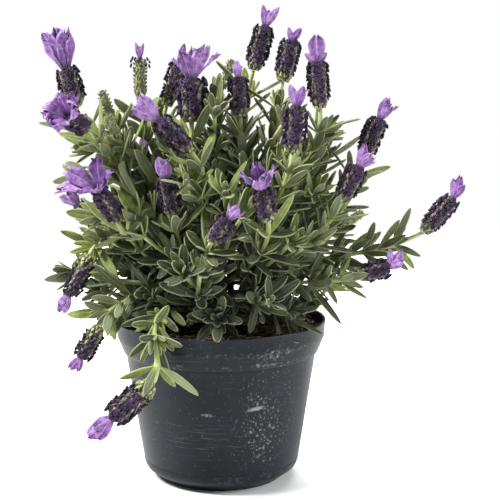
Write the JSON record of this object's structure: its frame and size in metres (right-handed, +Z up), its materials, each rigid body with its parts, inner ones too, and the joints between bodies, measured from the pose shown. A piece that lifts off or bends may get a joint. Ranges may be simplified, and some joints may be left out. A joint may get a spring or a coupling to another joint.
{
  "type": "potted lavender",
  "caption": "Butterfly lavender in a round plastic nursery pot: narrow grey-green leaves, dark purple flower spikes and pale violet bracts, some spikes drooping over the rim.",
  "frame": {"origin": "centre of the pot's flat underside", "axes": "+Z up along the pot's axis; the side shown in the picture faces -Y"},
  "size_m": [0.2605, 0.1828, 0.29],
  "materials": {
    "pot_plastic": "matte dark blue-grey with pale scuffs and dried water spots",
    "compost": "dark peat with bark chips and fibres",
    "foliage": "grey-green felted leaves and pale green stems",
    "floret": "near-black purple florets between grey-mauve woolly calyces",
    "bract": "thin violet petal with darker veins"
  },
  "bodies": {
    "root": {"pot": "pot_plastic", "compost": "compost", "branch_1": "foliage", "branch_2": "foliage", "branch_3": "foliage", "branch_4": "foliage", "branch_5": "foliage", "branch_6": "foliage", "spike_01": "floret", "bracts_01": "bract", "spike_02": "floret", "bracts_02": "bract", "spike_03": "floret", "bracts_03": "bract", "spike_04": "floret", "bracts_04": "bract", "spike_05": "floret", "bracts_05": "bract", "spike_06": "floret", "bracts_06": "bract", "spike_07": "floret", "bracts_07": "bract", "spike_08": "floret", "bracts_08": "bract", "spike_09": "floret", "bracts_09": "bract", "spike_10": "floret", "bracts_10": "bract", "spike_11": "floret", "bracts_11": "bract", "spike_12": "floret", "bracts_12": "bract", "spike_13": "floret", "bracts_13": "bract", "spike_14": "floret", "bracts_14": "bract", "spike_15": "floret", "bracts_15": "bract", "spike_16": "floret", "bracts_16": "bract", "spike_17": "floret", "bracts_17": "bract", "spike_18": "floret", "bracts_18": "bract", "spike_19": "floret", "bracts_19": "bract", "spike_20": "floret", "bracts_20": "bract", "spike_21": "floret", "bracts_21": "bract", "spike_22": "floret", "bracts_22": "bract", "spike_23": "floret", "bracts_23": "bract", "spike_24": "floret", "bracts_24": "bract", "spike_25": "floret", "bracts_25": "bract", "spike_26": "floret", "bracts_26": "bract"}
  },
  "joints": []
}
